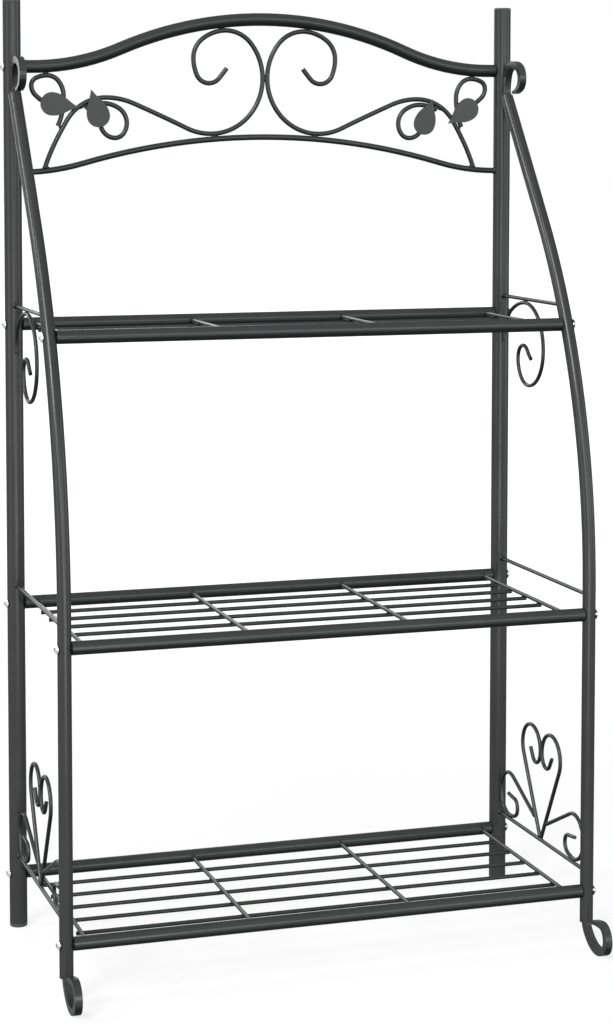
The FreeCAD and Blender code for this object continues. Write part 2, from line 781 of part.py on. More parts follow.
def volute_waypoints(arch, rod):
    """Volute from its tip round the eye, over the top and down to the rod, then out along its stem."""
    top = turned_back(under_arch(arch, size("volute_top_offset")))
    top_middle = (0, top[1])
    foot = volute_foot(rod)
    crest = stem_crest(rod)
    rod_contact = rod.at(PANEL_EDGE - size("stem_end_inset"))
    leaning = math.radians(size("stem_end_angle") + rod_contact[2])
    end = beside(rod_contact, ROD_RADIUS + GAP + PANEL_RADIUS * math.cos(leaning))
    return [
        set_out(top_middle, "volute_tip", 1, -size("volute_tip_angle")),
        set_out(top_middle, "volute_hook", 1, 0),
        set_out(top_middle, "volute_side", 1, 90),
        top,
        (PANEL_RADIUS + GAP / 2, top[1] - size("volute_inner_drop"), 270),
        foot,
        ((foot[0] + crest[0]) / 2, (foot[1] + crest[1]) / 2, size("stem_slope_angle")),
        crest,
        on_stem_bend(rod, size("stem_bend_angle")),
        (end[0], end[1], -size("stem_end_angle")),
    ]


def inner_tendril_waypoints(rod):
    """Tendril back along the underside of the stem and round below it."""
    crest = stem_crest(rod)
    wire_pitch = size("panel_wire_diameter") + GAP
    top_up = crest[1] - wire_pitch - size("inner_tendril_room")
    top = (crest[0] + size("inner_tendril_top_offset"), top_up, 180)
    return [
        turned_back(beside(on_stem_bend(rod, size("inner_tendril_angle")), -wire_pitch)),
        top,
        set_out(crest, "inner_tendril_side", -1, 270),
        set_out(crest, "inner_tendril_foot", -1, 0),
        set_out(crest, "inner_tendril_end", 1, size("inner_tendril_end_heading")),
    ]


def outer_tendril_waypoints(arch, rod):
    """Tendril from the outer side of the stem up to the arch and round outside it."""
    shoulder = on_stem_bend(rod, size("stem_bend_angle"))
    start = beside(shoulder, size("panel_wire_diameter") + GAP)
    start = moved(start, shoulder[2], size("outer_tendril_run"))
    top = under_arch(arch, PANEL_EDGE - size("outer_tendril_inset"))
    return [
        (start[0], start[1], 180 + start[2] - size("outer_tendril_flare_angle")),
        set_out(top, "outer_tendril_side", -1, 90),
        top,
        set_out(top, "outer_tendril_out", 1, 270),
        set_out(top, "outer_tendril_end", 1, size("outer_tendril_end_heading")),
    ]


def top_panel():
    """Arch tube and lower rod between the posts, with the scrollwork in between."""
    run = size("arch_end_run")
    arch = Arch(ARCH_END_HEIGHT, size("arch_rise"), PANEL_EDGE - run, size("arch_end_radius"))
    rod_end = ARCH_END_HEIGHT - size("rod_drop")
    rod = Arch(rod_end, size("rod_rise"), PANEL_EDGE, size("rod_end_radius"))
    bore = "Sizes.arch_diameter - 2 * Sizes.arch_wall"
    place(bent_bar("arch_tube", "XZ_Plane", arch.waypoints(run), "Sizes.arch_diameter", bore))
    place(bent_bar("arch_rod", "XZ_Plane", rod.waypoints(size("rod_spigot")), "Sizes.rod_diameter"))
    panel_wires("volute", volute_waypoints(arch, rod))
    tendrils = {"inner": inner_tendril_waypoints(rod), "outer": outer_tendril_waypoints(arch, rod)}
    for name, right_waypoints in tendrils.items():
        panel_wires(f"{name}_tendril", right_waypoints)
        for side, waypoints in (("left", mirrored(right_waypoints)), ("right", right_waypoints)):
            label = f"{side}_{name}_leaf"
            leaf(label, waypoints[-1], size(f"{label}_angle"), size(f"{label}_set"))


# Fasteners
def bolt_shape():
    """Domed bolt with a six-sided socket, along X from the underside of its head at X = 0."""
    head = size("bolt_head_diameter") / 2
    rim = -size("bolt_head_rim")
    shank = size("bolt_diameter") / 2
    tip = size("bolt_length")
    top = Vector(-size("bolt_head_height"), 0, 0)
    corners = [Vector(rim, head, 0), Vector(0, head, 0), Vector(0, shank, 0), Vector(tip, shank, 0)]
    corners += [Vector(tip, 0, 0), top]
    edges = [Part.LineSegment(*pair).toShape() for pair in zip(corners, corners[1:])]
    edges.append(arc(top, Vector(0, 1, 0), corners[0]).toShape())
    profile = Part.Face(Part.Wire(Part.__sortEdges__(edges)))
    solid = profile.revolve(Vector(), Vector(1, 0, 0), 360)
    corner_radius = size("bolt_socket_width") / math.sqrt(3)
    corner_turns = [math.radians(60 * step) for step in range(7)]
    rim_corners = [top + Vector(0, math.cos(turn), math.sin(turn)) * corner_radius for turn in corner_turns]
    socket = Part.Face(Part.makePolygon(rim_corners)).extrude(Vector(size("bolt_socket_depth"), 0, 0))
    return solid.cut(socket)


def insert_shape(bore_diameter):
    """Threaded ring along X, from its outer face at X = 0 inwards to +X."""
    outer = Part.makeCylinder(bore_diameter / 2 - size("insert_clearance"), size("insert_length"))
    hole = Part.makeCylinder(size("bolt_diameter") / 2 + size("insert_clearance"), size("insert_length"))
    ring = outer.cut(hole)
    ring.rotate(Vector(), Vector(0, 1, 0), 90)
    return ring


def group(label, shape, places):
    """Node of separate copies of one fastener at (side sign, across, back, up), pointing inwards."""
    copies = []
    post_line = (size("leg_reach") + size("foot_front_reach") - POST_RADIUS) / 2
    for sign, across, back, up in places:
        copy = shape.copy()
        turn = FreeCAD.Rotation(UP, 0 if sign < 0 else 180)
        target = FreeCAD.Placement(Vector(sign * across, post_line + back, up), turn)
        copy.Placement = target * copy.Placement
        copies.append(copy)
    feature = doc.addObject("Part::Feature", label)
    feature.Label = label
    feature.Shape = Part.makeCompound(copies)
    SUB_PARTS.append(feature)


def fasteners():
    """Bolts through the uprights into the inserts in the tube ends."""
    joints = []
    for shelf in SHELVES:
        height = shelf_height(shelf)
        joints.append((POST_RADIUS, 0, height))
        joints.append((LEG_RADIUS, leg_at(height)[0], height))
    bolt = bolt_shape()
    for side, sign in SIDES:
        heads = [(sign, HALF_SPACING + radius + GAP, back, up) for radius, back, up in joints]
        group(f"{side}_shelf_bolts", bolt, heads)
    arch_joint = (HALF_SPACING + POST_RADIUS + GAP, 0, ARCH_END_HEIGHT)
    group("arch_bolts", bolt, [(sign, *arch_joint) for side, sign in SIDES])
    ends = [(HALF_SPACING - radius - GAP, back, up) for radius, back, up in joints]
    shelf_insert = insert_shape(size("shelf_tube_diameter") - 2 * size("shelf_tube_wall"))
    group("shelf_tube_inserts", shelf_insert, [(sign, *end) for side, sign in SIDES for end in ends])
    arch_insert = insert_shape(size("arch_diameter") - 2 * size("arch_wall"))
    arch_end = (PANEL_EDGE, 0, ARCH_END_HEIGHT)
    group("arch_tube_inserts", arch_insert, [(sign, *arch_end) for side, sign in SIDES])


for side, sign in SIDES:
    side_frame(side, sign)
for shelf in SHELVES:
    shelf_grid(shelf)
top_panel()
fasteners()
doc.recompute()

for item in doc.Objects:
    if "Invalid" in item.State or "Error" in item.State:
        raise RuntimeError(f"{item.Label} did not build: {item.State}")
for item in SUB_PARTS:
    if item.Shape.isNull() or not item.Shape.isValid():
        raise RuntimeError(f"{item.Label} has no valid shape")
os.makedirs("parts", exist_ok=True)
for item in SUB_PARTS:
    item.Shape.exportStep(f"parts/{item.Label}.step")
print(len(SUB_PARTS), "sub-parts written")
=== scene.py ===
import json
import math

import bmesh
import bpy
from mathutils import Matrix, Vector, noise
from mathutils.bvhtree import BVHTree


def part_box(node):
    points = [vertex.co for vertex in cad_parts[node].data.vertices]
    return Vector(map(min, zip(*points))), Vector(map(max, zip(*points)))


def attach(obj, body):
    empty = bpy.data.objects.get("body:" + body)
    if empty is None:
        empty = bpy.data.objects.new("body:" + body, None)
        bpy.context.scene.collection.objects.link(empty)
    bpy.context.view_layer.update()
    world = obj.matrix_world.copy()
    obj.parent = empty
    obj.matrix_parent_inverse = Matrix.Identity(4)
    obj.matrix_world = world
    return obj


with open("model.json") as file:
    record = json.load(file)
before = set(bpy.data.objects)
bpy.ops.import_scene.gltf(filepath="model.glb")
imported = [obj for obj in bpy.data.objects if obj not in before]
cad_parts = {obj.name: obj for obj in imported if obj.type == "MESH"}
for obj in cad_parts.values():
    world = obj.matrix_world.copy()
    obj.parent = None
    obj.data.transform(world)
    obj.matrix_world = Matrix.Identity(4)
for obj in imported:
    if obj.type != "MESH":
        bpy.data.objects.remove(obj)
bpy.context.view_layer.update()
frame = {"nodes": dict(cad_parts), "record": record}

# Three-tier plant stand: coated tube and wire, dressed with weld beads and painted finishes.
# All lengths are in metres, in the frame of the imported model.
MM = 0.001
ACROSS = Vector((1, 0, 0))
BACK = Vector((0, 1, 0))
UP = Vector((0, 0, 1))
SIDES = ("left", "right")
SHELVES = ("lower", "middle", "upper")
NODES = frame["nodes"]

# Colours of the finishes
COAT_DARK = (0.041, 0.045, 0.044)
COAT_LIGHT = (0.050, 0.054, 0.053)
COAT_SPECK = (0.13, 0.135, 0.135)
# Painted shade: a darker coat colour that stands in for the shade under the tubes
COAT_PAINTED_SHADE = (0.016, 0.018, 0.018)
DUST = (0.16, 0.16, 0.155)
BOLT_DARK = (0.48, 0.49, 0.50)
BOLT_LIGHT = (0.58, 0.59, 0.60)
OILED_THREAD = (0.025, 0.025, 0.025)
PLUG_DARK = (0.026, 0.027, 0.028)
PLUG_LIGHT = (0.036, 0.037, 0.038)
INSERT_DARK = (0.045, 0.047, 0.047)
INSERT_LIGHT = (0.07, 0.072, 0.072)

# Most of a noise lies between these two values
GRAIN_LOW = 0.3
GRAIN_HIGH = 0.7

# Sockets of a mix node that mixes colours
MIX_SHARE = 0
MIX_FIRST_TONE = 6
MIX_SECOND_TONE = 7
MIXED_TONE = 2

# The bolts' heads lie further than this from the middle of the stand, their threads nearer
HEADS_FROM = 284 * MM
THREADS_TO = 283 * MM


# Finishes
class Finish:
    """Node material that is built up from one principled shader and object coordinates."""

    def __init__(self, name):
        self.material = bpy.data.materials.new(name)
        self.material.use_nodes = True
        self.tree = self.material.node_tree
        self.shader = self.tree.nodes["Principled BSDF"]
        self.place = self.add("ShaderNodeTexCoord").outputs["Object"]

    def add(self, kind, **values):
        """New node with some of its properties set."""
        node = self.tree.nodes.new(kind)
        for key, value in values.items():
            setattr(node, key, value)
        return node

    def link(self, output, target):
        """Join an output to an input."""
        self.tree.links.new(output, target)

    def paint(self, **outputs):
        """Outputs joined to the shader's sockets."""
        for name, output in outputs.items():
            self.link(output, self.shader.inputs[name.replace("_", " ")])

    def plain(self, **values):
        """Plain values on the shader's own sockets."""
        for name, value in values.items():
            self.shader.inputs[name.replace("_", " ")].default_value = value

    def parts_of(self, vector):
        """Outputs X, Y and Z of a vector."""
        node = self.add("ShaderNodeSeparateXYZ")
        self.link(vector, node.inputs["Vector"])
        return node.outputs

    def stretched(self, scale):
        """Object coordinates stretched along the axes."""
        mapping = self.add("ShaderNodeMapping")
        mapping.inputs["Scale"].default_value = scale
        self.link(self.place, mapping.inputs["Vector"])
        return mapping.outputs["Vector"]

    def grain(self, spots, detail=2.0, roughness=0.5, place=None):
        """Noise of so many spots to the metre."""
        texture = self.add("ShaderNodeTexNoise")
        texture.inputs["Scale"].default_value = spots
        texture.inputs["Detail"].default_value = detail
        texture.inputs["Roughness"].default_value = roughness
        self.link(place or self.place, texture.inputs["Vector"])
        return texture.outputs["Fac"]

    def shaded(self, grain, dark, light):
        """Colour that follows a noise from dark to light."""
        node = self.add("ShaderNodeValToRGB")
        stops = ((GRAIN_LOW, dark), (GRAIN_HIGH, light))
        for element, (position, colour) in zip(node.color_ramp.elements, stops):
            element.position = position
            element.color = (*colour, 1)
        self.link(grain, node.inputs["Fac"])
        return node.outputs["Color"]

    def spread(self, value, low, high, start=GRAIN_LOW, end=GRAIN_HIGH):
        """Value that goes from low to high while another goes from start to end."""
        node = self.add("ShaderNodeMapRange")
        for name, number in (("From Min", start), ("From Max", end), ("To Min", low), ("To Max", high)):
            node.inputs[name].default_value = number
        self.link(value, node.inputs["Value"])
        return node.outputs["Result"]

    def mixed(self, share, tone, second_tone):
        """Colour with a share of a second colour in it."""
        node = self.add("ShaderNodeMix", data_type="RGBA")
        self.link(share, node.inputs[MIX_SHARE])
        self.link(tone, node.inputs[MIX_FIRST_TONE])
        node.inputs[MIX_SECOND_TONE].default_value = (*second_tone, 1)
        return node.outputs[MIXED_TONE]

    def bumped(self, height, strength, depth, below=None):
        """Normal of a bumpy skin, on top of the bumps below it."""
        bump = self.add("ShaderNodeBump")
        bump.inputs["Strength"].default_value = strength
        bump.inputs["Distance"].default_value = depth
        self.link(height, bump.inputs["Height"])
        if below is not None:
            self.link(below, bump.inputs["Normal"])
        return bump.outputs["Normal"]


def powder_coat():
    """Anthracite powder coat: orange-peel skin, patchy gloss, fine specks, dust on top, and painted shade
    on the undersides.
    """
    finish = Finish("anthracite_powder_coat")
    tone = finish.shaded(finish.grain(spots=9.0, detail=4.0, roughness=0.6), COAT_DARK, COAT_LIGHT)
    specks = finish.spread(finish.grain(spots=2600.0, detail=1.0), low=0.0, high=0.22, start=0.62, end=0.74)
    tone = finish.mixed(specks, tone, COAT_SPECK)
    facing_up = finish.parts_of(finish.add("ShaderNodeNewGeometry").outputs["Normal"])["Z"]
    settled = finish.spread(facing_up, low=0.0, high=0.02, start=0.55, end=1.0)
    tone = finish.mixed(settled, tone, DUST)
    # Painted shade: downward faces get a darker coat colour that stands in for the shade under the tubes
    painted_underside_shade = finish.spread(facing_up, low=0.92, high=0.0, start=-0.38, end=-0.06)
    tone = finish.mixed(painted_underside_shade, tone, COAT_PAINTED_SHADE)
    gloss = finish.spread(finish.grain(spots=60.0, detail=3.0), low=0.22, high=0.30)
    peel = finish.bumped(finish.grain(spots=750.0, roughness=0.45), strength=0.06, depth=0.3 * MM)
    skin = finish.bumped(finish.grain(spots=2400.0, detail=1.0), strength=0.04, depth=0.1 * MM, below=peel)
    finish.paint(Base_Color=tone, Roughness=gloss, Normal=skin)
    finish.plain(Metallic=0.5, Specular_IOR_Level=0.0, Specular_Tint=(0.6, 0.6, 0.6, 1))
    return finish.material


def bolt_steel():
    """Bright plated steel with faint turning marks on the heads, and dark oiled threads."""
    finish = Finish("bright_bolt_steel")
    tone = finish.shaded(finish.grain(spots=420.0, detail=3.0), BOLT_DARK, BOLT_LIGHT)
    outwards = finish.add("ShaderNodeMath", operation="ABSOLUTE")
    finish.link(finish.parts_of(finish.place)["X"], outwards.inputs[0])
    threads = finish.spread(outwards.outputs["Value"], low=1.0, high=0.0, start=THREADS_TO, end=HEADS_FROM)
    tone = finish.mixed(threads, tone, OILED_THREAD)
    marks = finish.grain(spots=900.0, place=finish.stretched((6.0, 1.0, 1.0)))
    gloss = finish.spread(marks, low=0.16, high=0.30)
    skin = finish.bumped(marks, strength=0.05, depth=0.1 * MM)
    finish.paint(Base_Color=tone, Roughness=gloss, Normal=skin)
    finish.plain(Metallic=1.0)
    return finish.material


def plug_plastic():
    """Black moulded plastic with a fine spark-eroded grain."""
    finish = Finish("black_plug_plastic")
    tone = finish.shaded(finish.grain(spots=120.0, detail=3.0), PLUG_DARK, PLUG_LIGHT)
    gloss = finish.spread(finish.grain(spots=300.0), low=0.48, high=0.62)
    skin = finish.bumped(finish.grain(spots=1500.0, detail=1.0), strength=0.25, depth=0.2 * MM)
    finish.paint(Base_Color=tone, Roughness=gloss, Normal=skin)
    return finish.material


def insert_steel():
    """Drawn steel of the threaded inserts, darkened by the coat that ran over it."""
    finish = Finish("coated_insert_steel")
    tone = finish.shaded(finish.grain(spots=200.0, detail=3.0), INSERT_DARK, INSERT_LIGHT)
    lines = finish.grain(spots=700.0, place=finish.stretched((0.05, 1.0, 1.0)))
    gloss = finish.spread(lines, low=0.28, high=0.42)
    skin = finish.bumped(lines, strength=0.08, depth=0.1 * MM)
    finish.paint(Base_Color=tone, Roughness=gloss, Normal=skin)
    finish.plain(Metallic=1.0)
    return finish.material


FINISHES = {
    "powder_coat": powder_coat(),
    "bolt_steel": bolt_steel(),
    "plug_plastic": plug_plastic(),
    "insert_steel": insert_steel(),
}

for subpart in frame["record"]["subparts"]:
    slots = NODES[subpart["node"]].data.materials
    for index in range(len(slots)):
        slots[index] = FINISHES[subpart["material_slot"]]


# Ring bead round a wire: its outline, out from the wire's skin and up along the wire
RING_OUTLINE = (
    (-0.5 * MM, 1.7 * MM),
    (0.12 * MM, 1.19 * MM),
    (0.45 * MM, 0.56 * MM),
    (1.0 * MM, 0.028 * MM),
    (1.5 * MM, -0.9 * MM),
    (-0.5 * MM, -0.9 * MM),
)
RING_STEPS = 14

# Tacks: half sizes along the contact, over its depth and across it
LEAF_TACK = (2.0 * MM, 2.0 * MM, 1.2 * MM)
CROSSING_TACK = (2.2 * MM, 2.2 * MM, 1.0 * MM)
STEM_FOOT_TACK = (3.4 * MM, 2.4 * MM, 1.9 * MM)
STEM_END_REACH = 6 * MM
TACK_SHORTEST = 1.6 * MM
TACK_STRETCH = 0.55
TACK_LONGEST = 6 * MM
TACK_THICKNESS = 1.5 * MM
SIDE_TACK_DEPTH = 1.6 * MM
LEG_TACK_DEPTH = 3.0 * MM
PANEL_TACK_DEPTH = 2.0 * MM

# Low domes that close the leg ends round the bar scrolls
MOUTH_HEIGHT = 1.2 * MM
MOUTH_INSET = 0.4 * MM
RIM_BAND = 0.05 * MM
LEG_SLOPE = math.radians(37)

# Hand-laid unevenness, and the distances that tell contacts and wires apart
WELD_UNEVENNESS = 0.12 * MM
WELD_GRAIN = 700.0
WELD_SEED = 3
WELD_SEAM = 0.001 * MM
TOUCHING = 0.35 * MM
WELDS_APART = 12 * MM
WIRES_APART = 8 * MM

noise.seed_set(WELD_SEED)


# Weld beads, of the same coat as the wires that they join
def corners(node):
    """Lowest and highest corner of a node."""
    return [Vector(corner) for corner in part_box(node)]


def surface(node):
    """Search tree over the faces of a node."""
    mesh = NODES[node].data
    places = [vertex.co for vertex in mesh.vertices]
    faces = [face.vertices for face in mesh.polygons]
    return BVHTree.FromPolygons(places, faces)


def uneven(vertices):
    """Hand-laid look: every point of a bead a little out of place."""
    for vertex in vertices:
        vertex.co += noise.noise_vector(vertex.co * WELD_GRAIN) * WELD_UNEVENNESS


def ring_bead(shape, middle, axis, face_normal, radius):
    """Fillet round a wire that leaves along axis from a face, from the wire out onto the face."""
    side = axis.orthogonal().normalized()
    outline = [shape.verts.new(middle + side * (radius + out) + axis * up) for out, up in RING_OUTLINE]
    edges = [shape.edges.new(pair) for pair in zip(outline, outline[1:] + outline[:1])]
    earlier = set(shape.verts) - set(outline)
    bmesh.ops.spin(
        shape,
        geom=outline + edges,
        cent=middle,
        axis=axis,
        angle=2 * math.pi,
        steps=RING_STEPS,
        use_merge=True,
    )
    bead = [vertex for vertex in shape.verts if vertex not in earlier]
    for vertex in bead:
        offset = vertex.co - middle
        sideways = offset - axis * offset.dot(axis)
        vertex.co -= axis * (sideways.dot(face_normal) / axis.dot(face_normal))
    uneven(bead)


def tack(shape, middle, across, flat, half_sizes):
    """Lump of weld at a contact, with its half sizes along the contact, over its depth and across it."""
    flat = (flat - across * flat.dot(across)).normalized()
    along = across.cross(flat)
    columns = [axis * half for axis, half in zip((along, flat, across), half_sizes)]
    place = Matrix.Translation(middle) @ Matrix(columns).transposed().to_4x4()
    lump = bmesh.ops.create_icosphere(shape, subdivisions=2, radius=1.0, matrix=place)
    uneven(lump["verts"])


def contacts(first, second):
    """Places where two nodes all but touch, as (middle, direction across, reach from the middle)."""
    near = []
    for node, other in ((first, second), (second, first)):
        tree = surface(other)
        for vertex in NODES[node].data.vertices:
            foot, normal, _, gap = tree.find_nearest(vertex.co, TOUCHING)
            if foot is not None:
                near.append((gap, (vertex.co + foot) / 2, normal))
    near.sort(key=lambda item: item[0])
    groups = []
    for _, place, normal in near:
        for group in groups:
            if (group[0][0] - place).length < WELDS_APART:
                group.append((place, normal))
                break
        else:
            groups.append([(place, normal)])
    found = []
    for group in groups:
        middle, normal = group[0]
        reach = max((place - middle).length for place, _ in group)
        found.append((middle, normal.normalized(), reach))
    return found


def tack_contacts(shape, first, second, flat, depth):
    """Tacks at every place where two nodes touch, longer where they run side by side."""
    for middle, across, reach in contacts(first, second):
        half_length = min(TACK_SHORTEST + TACK_STRETCH * reach, TACK_LONGEST)
        tack(shape, middle, across, flat, (half_length, depth, TACK_THICKNESS))


def welded(name, shape):
    """Piece of weld beads that rides on the stand."""
    bmesh.ops.remove_doubles(shape, verts=shape.verts, dist=WELD_SEAM)
    bmesh.ops.recalc_face_normals(shape, faces=shape.faces)
    for face in shape.faces:
        face.smooth = True
    mesh = bpy.data.meshes.new(name)
    shape.to_mesh(mesh)
    shape.free()
    mesh.materials.append(FINISHES["powder_coat"])
    piece = bpy.data.objects.new(name, mesh)
    bpy.context.scene.collection.objects.link(piece)
    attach(piece, "root")


# Welds of the shelf grids
def lines_at(values):
    """Middles of the groups that a row of coordinates falls into."""
    groups = [[]]
    for value in sorted(values):
        if groups[-1] and value - groups[-1][-1] > WIRES_APART:
            groups.append([])
        groups[-1].append(value)
    return [(group[0] + group[-1]) / 2 for group in groups]


def grid_welds(shelf):
    """Rings where the cross wires butt on the shelf tubes, and tacks where they lie on the long wires."""
    shape = bmesh.new()
    cross_wires = f"{shelf}_cross_wires"
    long_wires = f"{shelf}_long_wires"
    low, high = corners(cross_wires)
    _, long_high = corners(long_wires)
    level = (low.z + high.z) / 2
    radius = (high.z - low.z) / 2
    crossing_level = (low.z + long_high.z) / 2
    long_lines = lines_at([vertex.co.y for vertex in NODES[long_wires].data.vertices])
    for across in lines_at([vertex.co.x for vertex in NODES[cross_wires].data.vertices]):
        ring_bead(shape, Vector((across, low.y, level)), BACK, BACK, radius)
        ring_bead(shape, Vector((across, high.y, level)), -BACK, -BACK, radius)
        for back in long_lines:
            tack(shape, Vector((across, back, crossing_level)), UP, BACK, CROSSING_TACK)
    welded(f"{shelf}_grid_welds", shape)


# Welds of the side frames
def rod_rings(shape, side, leg, post):
    """Rings where the side rods butt on the leg and on the post."""
    for shelf in SHELVES:
        low, high = corners(f"{side}_{shelf}_side_rod")
        middle = (low + high) / 2
        radius = (high.z - low.z) / 2
        for upright, toward in ((leg, -BACK), (post, BACK)):
            hit, normal, _, _ = surface(upright).ray_cast(middle, toward)
            ring_bead(shape, hit, -toward, normal, radius)


def heart_tacks(shape, side, leg, post):
    """Tacks of the heart halves and of the curls beside them."""
    rod = f"{side}_lower_side_rod"
    hearts = {end: f"{side}_{end}_heart_half" for end in ("front", "rear")}
    tack_contacts(shape, hearts["front"], hearts["rear"], ACROSS, SIDE_TACK_DEPTH)
    for end, upright in (("front", leg), ("rear", post)):
        curl = f"{side}_{end}_curl"
        for first, second in ((hearts[end], rod), (curl, hearts[end]), (curl, rod), (curl, upright)):
            tack_contacts(shape, first, second, ACROSS, SIDE_TACK_DEPTH)


def mouth_bead(shape, middle, axis, radius):
    """Low dome of weld that closes the end of a tube round the bar in it."""
    tack(shape, middle, axis, axis.orthogonal(), (radius, radius, MOUTH_HEIGHT))


def leg_mouths(shape, leg):
    """Domes at the upright lower end and at the sloping upper end of a leg."""
    low, high = corners(leg)
    leg_radius = (high.x - low.x) / 2
    radius = leg_radius - MOUTH_INSET
    lower_end = Vector(((low.x + high.x) / 2, low.y + leg_radius, low.z))
    mouth_bead(shape, lower_end, UP, radius)
    axis = Vector((0, math.sin(LEG_SLOPE), math.cos(LEG_SLOPE)))
    heights = [(vertex.co.dot(axis), vertex.co) for vertex in NODES[leg].data.vertices]
    highest = max(height for height, _ in heights)
    rim = [place for height, place in heights if highest - height < RIM_BAND]
    mouth_bead(shape, sum(rim, Vector()) / len(rim), axis, radius)


def frame_welds(side):
    """Beads of one side frame: rods, hearts, curls, hanging scroll, leg top and bar scrolls."""
    shape = bmesh.new()
    leg = f"{side}_front_leg"
    post = f"{side}_rear_post"
    scroll = f"{side}_hanging_scroll"
    rod_rings(shape, side, leg, post)
    heart_tacks(shape, side, leg, post)
    for carrier in (post, f"{side}_upper_side_rod"):
        tack_contacts(shape, scroll, carrier, ACROSS, SIDE_TACK_DEPTH)
    tack_contacts(shape, leg, post, ACROSS, LEG_TACK_DEPTH)
    leg_mouths(shape, leg)
    welded(f"{side}_frame_welds", shape)


# Welds of the top panel
def stem_foot(shape, volute):
    """Fuller tack that fills the wedge between the cut end of a stem and the arch rod under it."""
    middle, across, _ = max(contacts(volute, "arch_rod"), key=lambda contact: abs(contact[0].x))
    places = [vertex.co for vertex in NODES[volute].data.vertices]
    cut_end = [place for place in places if (place - middle).length < STEM_END_REACH]
    centre = sum(cut_end, Vector()) / len(cut_end)
    gap = (centre - middle).dot(across)
    tack(shape, centre - across * gap / 2, across, BACK, STEM_FOOT_TACK)


def leaf_tacks(shape, leaf, tendril):
    """Small round tacks between a leaf and the wire behind it."""
    for middle, across, _ in contacts(leaf, tendril):
        tack(shape, middle, across, ACROSS, LEAF_TACK)


def rod_end_ring(shape, side):
    """Ring where the arch rod goes into a post."""
    rod_low, rod_high = corners("arch_rod")
    post_low, post_high = corners(f"{side}_rear_post")
    radius = (rod_high.y - rod_low.y) / 2
    inner_face = post_high.x if side == "left" else post_low.x
    inwards = ACROSS if side == "left" else -ACROSS
    middle = Vector((inner_face, (rod_low.y + rod_high.y) / 2, rod_low.z + radius))
    ring_bead(shape, middle, inwards, inwards, radius)


def panel_welds():
    """Beads of the top panel: volutes, stems, tendrils and leaves, and the rod's ends at the posts."""
    shape = bmesh.new()
    tack_contacts(shape, "left_volute", "right_volute", BACK, PANEL_TACK_DEPTH)
    for side in SIDES:
        volute = f"{side}_volute"
        inner = f"{side}_inner_tendril"
        outer = f"{side}_outer_tendril"
        tack_contacts(shape, volute, "arch_tube", BACK, PANEL_TACK_DEPTH)
        tack_contacts(shape, volute, "arch_rod", BACK, PANEL_TACK_DEPTH)
        tack_contacts(shape, volute, inner, BACK, PANEL_TACK_DEPTH)
        tack_contacts(shape, volute, outer, BACK, PANEL_TACK_DEPTH)
        tack_contacts(shape, outer, "arch_tube", BACK, PANEL_TACK_DEPTH)
        stem_foot(shape, volute)
        leaf_tacks(shape, f"{side}_inner_leaf", inner)
        leaf_tacks(shape, f"{side}_outer_leaf", outer)
        rod_end_ring(shape, side)
    welded("panel_welds", shape)


for shelf in SHELVES:
    grid_welds(shelf)
for side in SIDES:
    frame_welds(side)
panel_welds()


# Brightness of the floor, which glows more further out, and of the backdrop
FLOOR_HALF_WIDTH = 30.0
FLOOR_TONE = 0.2
FLOOR_GLOW_NEAR = 0.79
FLOOR_GLOW_FAR = 1.0
FLOOR_NEAR = 0.6
FLOOR_FAR = 2.4
FILL_LIGHT = 0.06
BACKDROP_LIGHT = 1.0

# Strip lamps: name, degrees right of the front, distance, lower and upper edge, width, brightness
STRIP_LAMPS = (
    ("front_strip", -13, 3.2, 0.02, 1.3, 1.0, 3.3),
    ("floor_strip", -8, 1.15, 0.02, 0.36, 0.5, 3.4),
    ("right_strip", 72, 3.2, 0.02, 1.8, 1.4, 2.1),
    ("left_strip", -78, 3.2, 0.02, 1.8, 1.4, 1.2),
)
STRIP_POWER = 4

# Soft lamps: name, degrees right of the front, degrees above the floor, strength, spread in degrees
SOFT_LAMPS = (
    ("low_key_lamp", -22, 20, 0.45, 18),
    ("key_lamp", -42, 34, 1.65, 17),
    ("high_key_lamp", -50, 49, 0.85, 17),
    ("left_lamp", -98, 38, 1.05, 15),
    ("front_lamp", 20, 7, 0.69, 32),
    ("rear_lamp", -173, 11, 2.8, 48),
    ("rim_lamp", -126, 17, 0.25, 16),
)


# Floor, backdrop and light
def combined(tree, operation, first, second):
    """Two values worked into one."""
    node = tree.nodes.new("ShaderNodeMath")
    node.operation = operation
    tree.links.new(first, node.inputs[0])
    tree.links.new(second, node.inputs[1])
    return node.outputs[0]


def seen_directly(tree):
    """Share that is 1 for rays from the camera, mirrors and glass, and 0 for diffuse light."""
    path = tree.nodes.new("ShaderNodeLightPath")
    share = path.outputs["Is Camera Ray"]
    for name in ("Is Glossy Ray", "Is Transmission Ray"):
        share = combined(tree, "MAXIMUM", share, path.outputs[name])
    return share


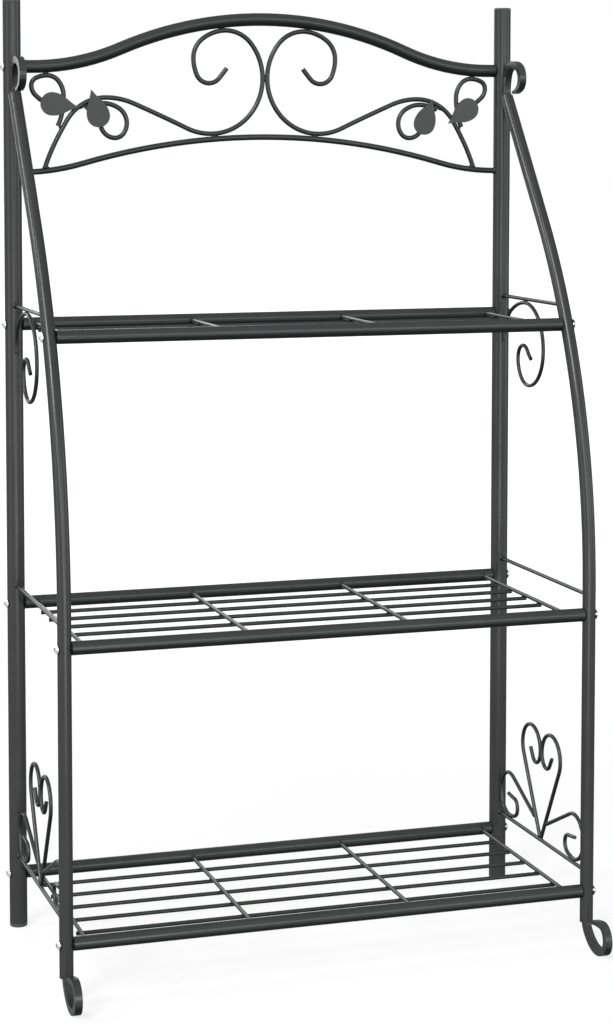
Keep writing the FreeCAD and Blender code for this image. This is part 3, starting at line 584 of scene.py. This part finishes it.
def floor_paint():
    """Pale matt paint that shows as white to the camera and in reflections, and keeps the shadow."""
    material = bpy.data.materials.new("studio_floor_paint")
    material.use_nodes = True
    tree = material.node_tree
    tree.nodes.clear()
    pale = tree.nodes.new("ShaderNodeBsdfDiffuse")
    pale.inputs["Color"].default_value = (FLOOR_TONE, FLOOR_TONE, FLOOR_TONE, 1)
    away = tree.nodes.new("ShaderNodeVectorMath")
    away.operation = "LENGTH"
    tree.links.new(tree.nodes.new("ShaderNodeTexCoord").outputs["Object"], away.inputs[0])
    rise = tree.nodes.new("ShaderNodeMapRange")
    rise.interpolation_type = "SMOOTHSTEP"
    rise.inputs["From Min"].default_value = FLOOR_NEAR
    rise.inputs["From Max"].default_value = FLOOR_FAR
    rise.inputs["To Min"].default_value = FLOOR_GLOW_NEAR
    rise.inputs["To Max"].default_value = FLOOR_GLOW_FAR
    tree.links.new(away.outputs["Value"], rise.inputs["Value"])
    glow = tree.nodes.new("ShaderNodeEmission")
    seen = combined(tree, "MULTIPLY", seen_directly(tree), rise.outputs["Result"])
    tree.links.new(seen, glow.inputs["Strength"])
    both = tree.nodes.new("ShaderNodeAddShader")
    tree.links.new(pale.outputs[0], both.inputs[0])
    tree.links.new(glow.outputs[0], both.inputs[1])
    output = tree.nodes.new("ShaderNodeOutputMaterial")
    tree.links.new(both.outputs[0], output.inputs["Surface"])
    return material


def studio_floor():
    """Wide pale floor whose shadow fades out into a white backdrop."""
    mesh = bpy.data.meshes.new("studio_floor")
    shape = bmesh.new()
    bmesh.ops.create_grid(shape, x_segments=1, y_segments=1, size=FLOOR_HALF_WIDTH)
    shape.to_mesh(mesh)
    shape.free()
    mesh.materials.append(floor_paint())
    floor = bpy.data.objects.new("studio_floor", mesh)
    bpy.context.scene.collection.objects.link(floor)


def white_world():
    """White backdrop, with softer light on the stand itself."""
    world = bpy.data.worlds.new("white_studio")
    world.use_nodes = True
    tree = world.node_tree
    tree.nodes.clear()
    shares = tree.nodes.new("ShaderNodeMixShader")
    tree.links.new(seen_directly(tree), shares.inputs["Fac"])
    for socket, strength in ((1, FILL_LIGHT), (2, BACKDROP_LIGHT)):
        light = tree.nodes.new("ShaderNodeBackground")
        light.inputs["Color"].default_value = (1, 1, 1, 1)
        light.inputs["Strength"].default_value = strength
        tree.links.new(light.outputs[0], shares.inputs[socket])
    output = tree.nodes.new("ShaderNodeOutputWorld")
    tree.links.new(shares.outputs[0], output.inputs["Surface"])
    bpy.context.scene.world = world


def strip_lamp(name, azimuth, distance, low, high, width, brightness):
    """Upright strip lamp that faces the stand, between two heights, as bright as so many white walls."""
    lamp = bpy.data.lights.new(name, "AREA")
    lamp.shape = "RECTANGLE"
    lamp.size = width
    lamp.size_y = high - low
    lamp.energy = STRIP_POWER * brightness * width * (high - low)
    holder = bpy.data.objects.new(name, lamp)
    turn = math.radians(azimuth)
    holder.location = (distance * math.sin(turn), -distance * math.cos(turn), (low + high) / 2)
    holder.rotation_euler = (math.pi / 2, 0, turn)
    bpy.context.scene.collection.objects.link(holder)


def soft_lamp(name, azimuth, elevation, strength, spread):
    """Wide soft lamp, placed by degrees to the right of the front and above the floor."""
    lamp = bpy.data.lights.new(name, "SUN")
    lamp.energy = strength
    lamp.angle = math.radians(spread)
    holder = bpy.data.objects.new(name, lamp)
    holder.rotation_euler = (math.radians(90 - elevation), 0, math.radians(azimuth))
    bpy.context.scene.collection.objects.link(holder)


studio_floor()
white_world()
for strip in STRIP_LAMPS:
    strip_lamp(*strip)
for lamp in SOFT_LAMPS:
    soft_lamp(*lamp)


# Camera at the photograph's viewing angle
CAMERA_PLACE = (-0.76196, -2.34571, 0.84704)
CAMERA_DIP = 0.06934
CAMERA_TURN = -0.30732

camera_data = bpy.data.cameras.new("camera")
camera_data.sensor_width = 36.0
camera_data.lens = 83.36
camera_data.shift_x = 0.01617
camera_data.shift_y = -0.2
camera = bpy.data.objects.new("camera", camera_data)
camera.location = CAMERA_PLACE
camera.rotation_euler = (math.pi / 2 - CAMERA_DIP, 0, CAMERA_TURN)
bpy.context.scene.collection.objects.link(camera)
bpy.context.scene.camera = camera
bpy.context.scene.view_settings.view_transform = "Standard"
